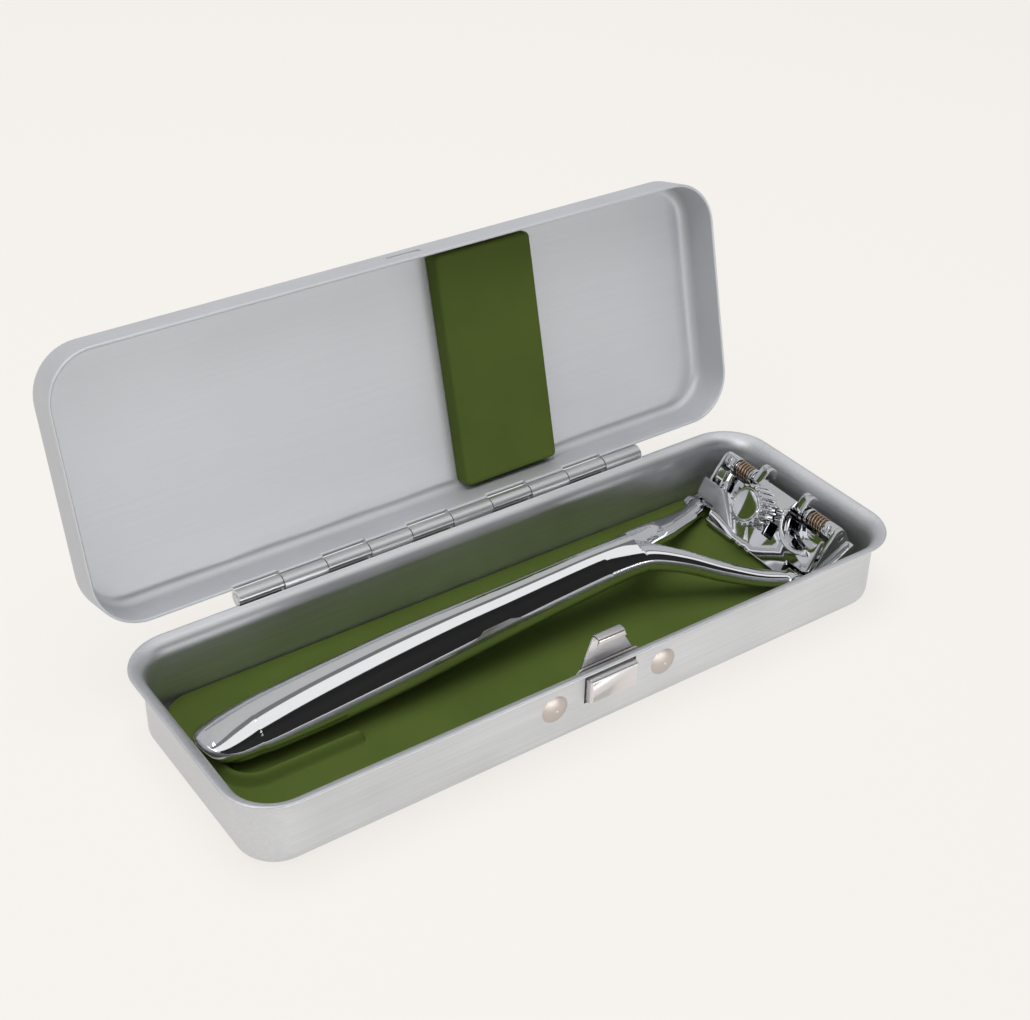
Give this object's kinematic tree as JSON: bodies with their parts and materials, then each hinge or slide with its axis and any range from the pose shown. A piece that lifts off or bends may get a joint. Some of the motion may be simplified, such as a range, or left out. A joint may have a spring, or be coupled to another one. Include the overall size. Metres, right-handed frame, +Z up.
{
  "type": "razor travel case",
  "caption": "Hinged rectangular sheet-metal travel case with a spring latch, a moulded mat, a hold-down pad and a razor that lifts out.",
  "frame": {"origin": "centre of the tray's underside, where the case rests", "axes": "+X along the case to the razor's head, +Y back to the hinge, +Z up; the lid stands open at rest"},
  "size_m": [0.1906, 0.0986, 0.0884],
  "materials": {
    "satin_aluminium": "satin, fine drawn grain",
    "bright_aluminium": "satin, rolled sheet",
    "green_silicone": "matt moulded silicone, olive green",
    "steel_pin": "drawn wire",
    "nickel": "nickel plate, satin",
    "spring_steel": "nickel plated spring strip",
    "rivet_nickel": "warm nickel, satin",
    "mirror_chrome": "mirror polish",
    "spring_bronze": "drawn bronze wire",
    "blade_steel": "ground stainless strip"
  },
  "bodies": {
    "base": {"base_tray": "satin_aluminium", "base_liner": "green_silicone", "hinge_leaf_base": "bright_aluminium", "hinge_pin": "steel_pin", "latch_spring": "spring_steel", "latch_rivets": "rivet_nickel", "latch_washers": "rivet_nickel"},
    "lid": {"lid_shell": "satin_aluminium", "lid_pad": "green_silicone", "hinge_leaf_lid": "bright_aluminium"},
    "latch": {"latch_button": "nickel", "latch_tongue": "spring_steel"},
    "grip": {"razor_handle": "mirror_chrome"},
    "head": {"head_carrier": "mirror_chrome", "pivot_screws": "mirror_chrome", "clamp_rod": "mirror_chrome", "rod_collars": "mirror_chrome", "torsion_spring_left": "spring_bronze", "torsion_spring_right": "spring_bronze", "blade_1": "blade_steel", "blade_2": "blade_steel", "blade_3": "blade_steel", "blade_clamp_1": "mirror_chrome", "blade_clamp_2": "mirror_chrome", "blade_clamp_3": "mirror_chrome"},
    "cover": {"head_cover": "mirror_chrome", "cover_ears": "mirror_chrome", "spring_guard": "mirror_chrome"},
    "knob": {"head_knob": "mirror_chrome", "knob_stud": "mirror_chrome"}
  },
  "joints": [
    {"name": "lid_hinge", "type": "hinge", "parent": "base", "child": "lid", "pos_m": [0, 0.036, 0.0209], "axis": [1, 0, 0], "range_deg": [0, 104.2]},
    {"name": "latch_press", "type": "slide", "parent": "base", "child": "latch", "axis": [0, 1, 0], "range_m": [0, 0.0012], "stiffness_N_per_m": 600, "springref_m": -0.001},
    {"name": "razor_lift", "type": "slide", "parent": "base", "child": "grip", "axis": [0, 0, 1], "range_m": [0, 0.06]},
    {"name": "head_pivot", "type": "hinge", "parent": "grip", "child": "head", "pos_m": [0.07158, 0.00123, 0.0069], "axis": [0.0243, 0.9997, 0], "range_deg": [-40, 0], "stiffness_Nm_per_rad": 0.05, "springref_deg": 17.19},
    {"name": "cover_swing", "type": "hinge", "parent": "head", "child": "cover", "pos_m": [0.08392, 0.00093, 0.01739], "axis": [0.0243, 0.9997, 0], "range_deg": [0, 25]},
    {"name": "knob_turn", "type": "hinge", "parent": "cover", "child": "knob", "pos_m": [0.07678, 0.00111, 0.01614], "axis": [-0.871, 0.0211, 0.4909], "range_deg": [0, 360]}
  ]
}
